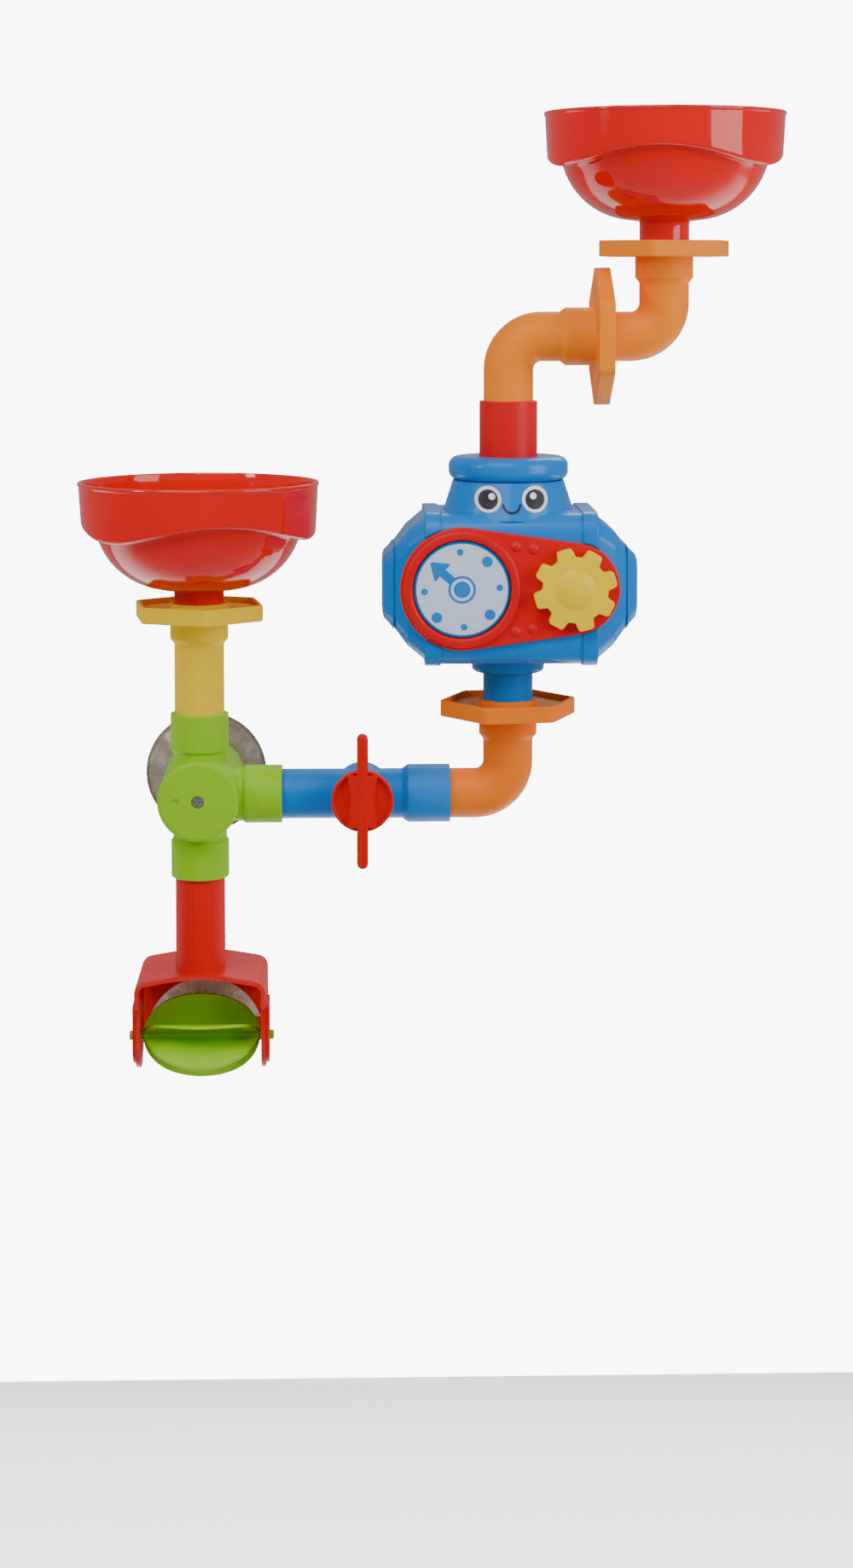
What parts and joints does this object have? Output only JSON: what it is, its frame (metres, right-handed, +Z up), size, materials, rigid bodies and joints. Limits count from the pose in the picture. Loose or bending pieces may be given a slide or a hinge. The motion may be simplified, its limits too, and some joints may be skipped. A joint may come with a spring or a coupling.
{
  "type": "water play pipe set",
  "caption": "Wall-mounted water play pipe run: pouring funnels, swivelling elbows, a turn valve, a pump-shaped body with geared dial and a splash wheel spout, held by suction cups.",
  "frame": {"origin": "centre of the tee's suction cup, on the wall it is pressed against", "axes": "+X to the right for someone facing the wall, +Y into the wall, +Z up along the pipes"},
  "size_m": [0.3456, 0.12, 0.4903],
  "materials": {
    "green": "satin",
    "yellow": "satin",
    "orange": "satin",
    "blue": "semi-gloss",
    "red": "semi-gloss",
    "funnel_red": "glossy",
    "cup": "clear soft vinyl",
    "seal_black": "satin",
    "screw_steel": "satin",
    "dial_pale": "semi-gloss",
    "dial_blue": "semi-gloss",
    "inner_white": "satin",
    "print_white": "semi-gloss",
    "print_black": "semi-gloss"
  },
  "bodies": {
    "root": {"tee_body": "green", "tee_base": "green", "tee_screw": "screw_steel", "tee_cup": "cup", "valve_pipe": "blue", "valve_cap": "blue", "low_elbow": "orange", "outlet_spigot": "blue", "front_shell": "blue", "rear_shell": "blue", "body_screws": "screw_steel", "body_cup": "cup", "neck_ring": "blue", "red_sleeve": "red", "face_panel": "red", "eye_whites": "print_white", "smile_and_pupils": "print_black", "eye_glints": "print_white", "spout_yoke": "red", "yoke_cup": "cup"},
    "left_pipe": {"yellow_pipe": "yellow"},
    "left_bowl": {"left_funnel": "funnel_red"},
    "valve": {"valve_plug": "red", "valve_seal": "seal_black", "valve_handle": "red"},
    "dial": {"dial_disc": "blue", "dial_label": "dial_pale", "dial_marks": "dial_blue", "dial_shaft": "inner_white", "dial_gear": "inner_white", "water_wheel": "inner_white"},
    "knob": {"gear_knob": "yellow", "knob_shaft": "inner_white", "knob_gear": "inner_white"},
    "middle_elbow": {"mid_elbow": "orange"},
    "upper_elbow": {"top_elbow": "orange"},
    "right_bowl": {"right_funnel": "funnel_red"},
    "splash": {"splash_wheel": "green"}
  },
  "joints": [
    {"name": "yellow_pipe_turn", "type": "hinge", "parent": "root", "child": "left_pipe", "pos_m": [0, -0.061, 0.032], "axis": [0, 0, 1], "continuous": true},
    {"name": "left_funnel_turn", "type": "hinge", "parent": "left_pipe", "child": "left_bowl", "pos_m": [0, -0.061, 0.086], "axis": [0, 0, 1], "continuous": true},
    {"name": "valve_turn", "type": "hinge", "parent": "root", "child": "valve", "pos_m": [0.0798, -0.061, 0], "axis": [0, 1, 0], "range_deg": [0, 90]},
    {"name": "dial_spin", "type": "hinge", "parent": "root", "child": "dial", "pos_m": [0.1274, -0.061, 0.105], "axis": [0, 1, 0], "continuous": true},
    {"name": "gear_knob_spin", "type": "hinge", "parent": "root", "child": "knob", "pos_m": [0.1813, -0.061, 0.105], "axis": [0, 1, 0], "continuous": true},
    {"name": "mid_elbow_swing", "type": "hinge", "parent": "root", "child": "middle_elbow", "pos_m": [0.1515, -0.061, 0.186], "axis": [0, 0, 1], "range_deg": [-90, 0]},
    {"name": "top_elbow_tilt", "type": "hinge", "parent": "middle_elbow", "child": "upper_elbow", "pos_m": [0.193, -0.061, 0.225], "axis": [1, 0, 0], "range_deg": [0, 90]},
    {"name": "right_funnel_turn", "type": "hinge", "parent": "upper_elbow", "child": "right_bowl", "pos_m": [0.2276, -0.061, 0.265], "axis": [0, 0, 1], "continuous": true},
    {"name": "splash_wheel_spin", "type": "hinge", "parent": "root", "child": "splash", "pos_m": [0, -0.055, -0.122], "axis": [1, 0, 0], "continuous": true}
  ],
  "couplings": [
    {"joint": "gear_knob_spin", "follows": "dial_spin", "ratio": -1}
  ]
}
